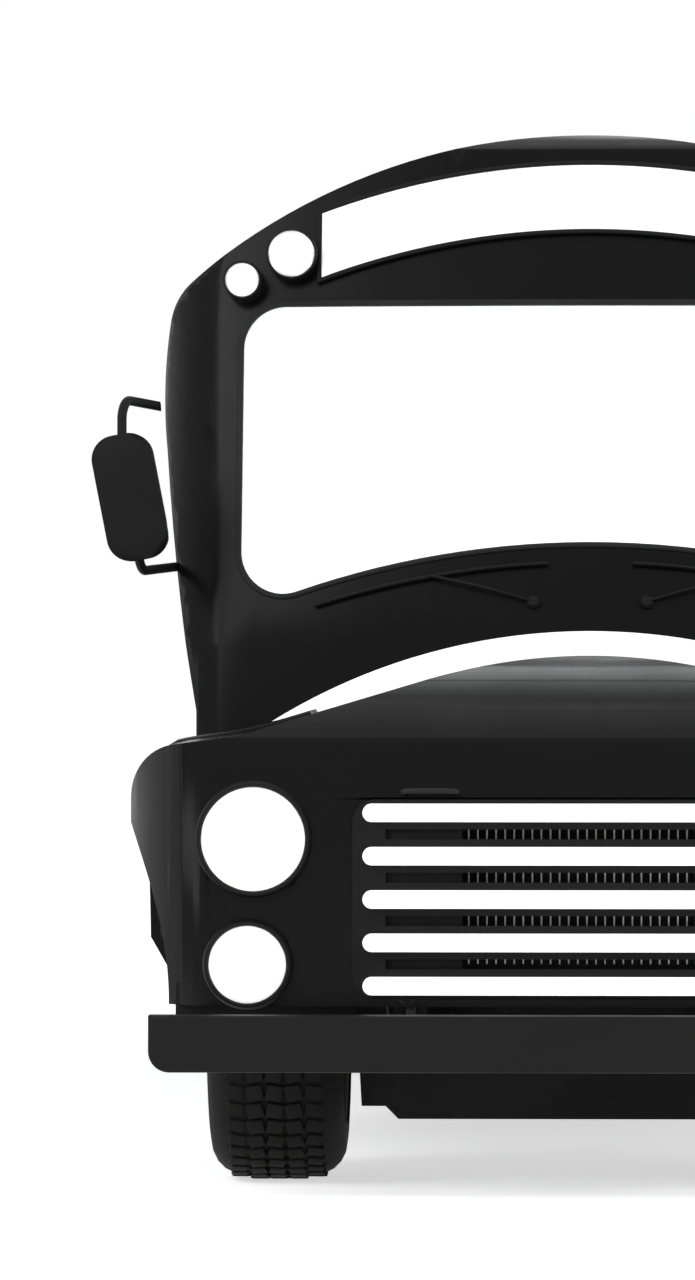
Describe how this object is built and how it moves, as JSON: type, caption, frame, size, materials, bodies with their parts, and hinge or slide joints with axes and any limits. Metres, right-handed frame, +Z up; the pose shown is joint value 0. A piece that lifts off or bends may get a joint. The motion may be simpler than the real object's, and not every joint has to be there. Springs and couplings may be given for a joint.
{
  "type": "school bus",
  "caption": "Bonneted school bus with a tilting bonnet, steered front wheels, folding entrance, rear emergency door, roof hatches and stop arm.",
  "frame": {"origin": "on the ground, midway between the front and rear bumper faces and midway between the two sides", "axes": "+X to the vehicle's left (the driver's side), +Y rearwards, +Z up; the front faces -Y"},
  "size_m": [2.8158, 9.5, 2.979],
  "materials": {
    "body_paint": "gloss",
    "black_trim": "satin",
    "chassis_paint": "satin",
    "wheel_paint": "satin",
    "tyre": "matte",
    "bright_metal": "polished",
    "clear_lamp": "clear",
    "red_lamp": "gloss",
    "red_paint": "gloss",
    "glass": "clear",
    "pale_panel": "satin",
    "engine_iron": "as cast",
    "exhaust_steel": "dull",
    "floor_cover": "matte",
    "seat_cover": "matte"
  },
  "bodies": {
    "bus_body": {"left_wall": "body_paint", "right_wall": "body_paint", "roof": "body_paint", "front_cap": "body_paint", "windscreen": "glass", "rear_wall": "body_paint", "body_glass": "glass", "floor": "floor_cover", "step_well": "black_trim", "sign_panel": "pale_panel", "roof_lamps": "clear_lamp", "mirrors": "black_trim", "chassis_frame": "chassis_paint", "front_bumper": "chassis_paint", "rear_bumper": "chassis_paint", "engine_block": "engine_iron", "radiator": "black_trim", "leaf_springs": "chassis_paint", "front_axle": "chassis_paint", "rear_axle": "chassis_paint", "propeller_shaft": "chassis_paint", "fuel_tank": "chassis_paint", "battery_box": "black_trim", "exhaust": "exhaust_steel", "dashboard": "black_trim", "driver_seat": "seat_cover", "driver_pedestal": "chassis_paint", "seat_pads": "seat_cover", "seat_frames": "chassis_paint", "rear_lamps": "red_lamp"},
    "bonnet_assembly": {"bonnet": "body_paint", "grille_panel": "black_trim", "grille_bars": "bright_metal", "crescent_trim": "bright_metal", "front_lamps": "clear_lamp"},
    "left_knuckle": {"knuckle_left": "chassis_paint"},
    "right_knuckle": {"knuckle_right": "chassis_paint"},
    "steering_rod": {"tie_rod": "chassis_paint"},
    "front_left_wheel": {"front_rim_left": "wheel_paint", "front_tyre_left": "tyre"},
    "front_right_wheel": {"front_rim_right": "wheel_paint", "front_tyre_right": "tyre"},
    "rear_left_wheels": {"rear_rim_left": "wheel_paint", "rear_tyres_left": "tyre"},
    "rear_right_wheels": {"rear_rim_right": "wheel_paint", "rear_tyres_right": "tyre"},
    "front_entrance_leaf": {"door_front": "black_trim", "door_glass_front": "glass"},
    "rear_entrance_leaf": {"door_rear": "black_trim", "door_glass_rear": "glass"},
    "emergency_door": {"rear_door": "body_paint", "rear_door_glass": "glass"},
    "stop_arm_plate": {"stop_arm": "red_paint"},
    "front_hatch": {"hatch_lid_front": "body_paint"},
    "rear_hatch": {"hatch_lid_rear": "body_paint"},
    "steering_wheel_body": {"steering_wheel": "black_trim"}
  },
  "joints": [
    {"name": "bonnet_tilt", "type": "hinge", "parent": "bus_body", "child": "bonnet_assembly", "pos_m": [0, -4.6, 0.44], "axis": [1, 0, 0], "range_deg": [0, 60]},
    {"name": "steer_left", "type": "hinge", "parent": "bus_body", "child": "left_knuckle", "pos_m": [0.7, -3.8, 0.51], "axis": [0, 0, 1], "range_deg": [-30, 30]},
    {"name": "steer_right", "type": "hinge", "parent": "bus_body", "child": "right_knuckle", "pos_m": [-0.7, -3.8, 0.51], "axis": [0, 0, 1], "range_deg": [-30, 30]},
    {"name": "tie_rod_turn", "type": "hinge", "parent": "left_knuckle", "child": "steering_rod", "pos_m": [0.7, -3.65, 0.402], "axis": [0, 0, 1], "range_deg": [-30, 30]},
    {"name": "steering_wheel_turn", "type": "hinge", "parent": "bus_body", "child": "steering_wheel_body", "pos_m": [0.56, -2.28, 1.56], "axis": [0, 0.5299, 0.848], "range_deg": [-450, 450]},
    {"name": "front_left_spin", "type": "hinge", "parent": "left_knuckle", "child": "front_left_wheel", "pos_m": [0.7, -3.8, 0.51], "axis": [1, 0, 0], "continuous": true},
    {"name": "front_right_spin", "type": "hinge", "parent": "right_knuckle", "child": "front_right_wheel", "pos_m": [-0.7, -3.8, 0.51], "axis": [1, 0, 0], "continuous": true},
    {"name": "rear_left_spin", "type": "hinge", "parent": "bus_body", "child": "rear_left_wheels", "pos_m": [0.8, 1.7, 0.51], "axis": [1, 0, 0], "continuous": true},
    {"name": "rear_right_spin", "type": "hinge", "parent": "bus_body", "child": "rear_right_wheels", "pos_m": [-0.8, 1.7, 0.51], "axis": [1, 0, 0], "continuous": true},
    {"name": "front_leaf_swing", "type": "hinge", "parent": "bus_body", "child": "front_entrance_leaf", "pos_m": [-1.09, -2.287, 1.33], "axis": [0, 0, 1], "range_deg": [0, 90]},
    {"name": "rear_leaf_swing", "type": "hinge", "parent": "bus_body", "child": "rear_entrance_leaf", "pos_m": [-1.09, -1.573, 1.33], "axis": [0, 0, 1], "range_deg": [-90, 0]},
    {"name": "emergency_door_swing", "type": "hinge", "parent": "bus_body", "child": "emergency_door", "pos_m": [-0.426, 4.614, 1.625], "axis": [0, 0, 1], "range_deg": [0, 110]},
    {"name": "stop_arm_swing", "type": "hinge", "parent": "bus_body", "child": "stop_arm_plate", "pos_m": [1.17, -1.63, 1.04], "axis": [0, 0, -1], "range_deg": [0, 90]},
    {"name": "front_hatch_lift", "type": "hinge", "parent": "bus_body", "child": "front_hatch", "pos_m": [0, -0.682, 2.967], "axis": [1, 0, 0], "range_deg": [0, 40]},
    {"name": "rear_hatch_lift", "type": "hinge", "parent": "bus_body", "child": "rear_hatch", "pos_m": [0, 2.418, 2.967], "axis": [1, 0, 0], "range_deg": [0, 40]}
  ],
  "couplings": [
    {"joint": "steer_right", "follows": "steer_left", "ratio": 1},
    {"joint": "tie_rod_turn", "follows": "steer_left", "ratio": -1},
    {"joint": "steering_wheel_turn", "follows": "steer_left", "ratio": 15},
    {"joint": "rear_leaf_swing", "follows": "front_leaf_swing", "ratio": -1}
  ]
}
